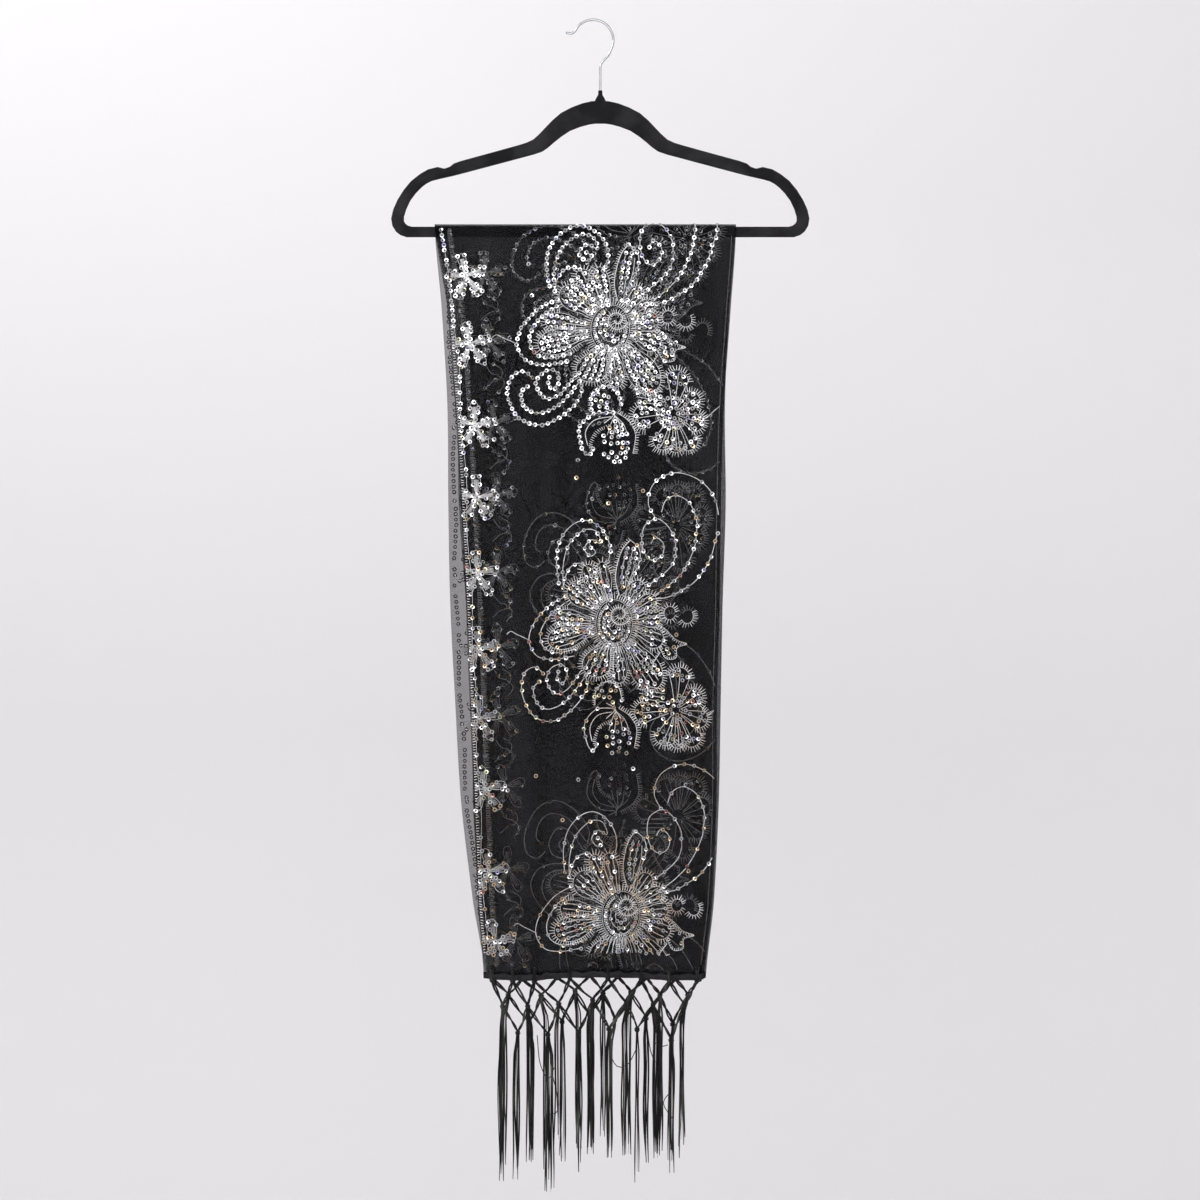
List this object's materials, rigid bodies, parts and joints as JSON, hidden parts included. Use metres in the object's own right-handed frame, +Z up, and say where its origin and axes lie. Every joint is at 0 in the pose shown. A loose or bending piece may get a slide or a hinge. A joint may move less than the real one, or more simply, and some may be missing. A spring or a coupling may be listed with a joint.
{
  "type": "sequin shawl on a clothes hanger",
  "caption": "Sheer black net shawl with ring-sequin flowers and knotted fringes, folded lengthwise and hung over the bar of a flat flocked clothes hanger.",
  "frame": {"origin": "top of the inside of the hanger's hook, where it rests on a rail", "axes": "+Z up, +X to the right of the picture's viewer, +Y away from the viewer, so the hanger and the cloth lie in the XZ plane"},
  "size_m": [0.4492, 0.0218, 1.2631],
  "materials": {
    "flock": "short black flock",
    "plated_wire": "bright plated",
    "net": "sheer black net with silver sequins",
    "thread": "soft sheen"
  },
  "bodies": {
    "root": {"hanger_frame": "flock", "hanger_hook": "plated_wire", "shawl_cloth": "net", "front_fringe": "thread", "back_fringe": "thread"}
  },
  "joints": []
}
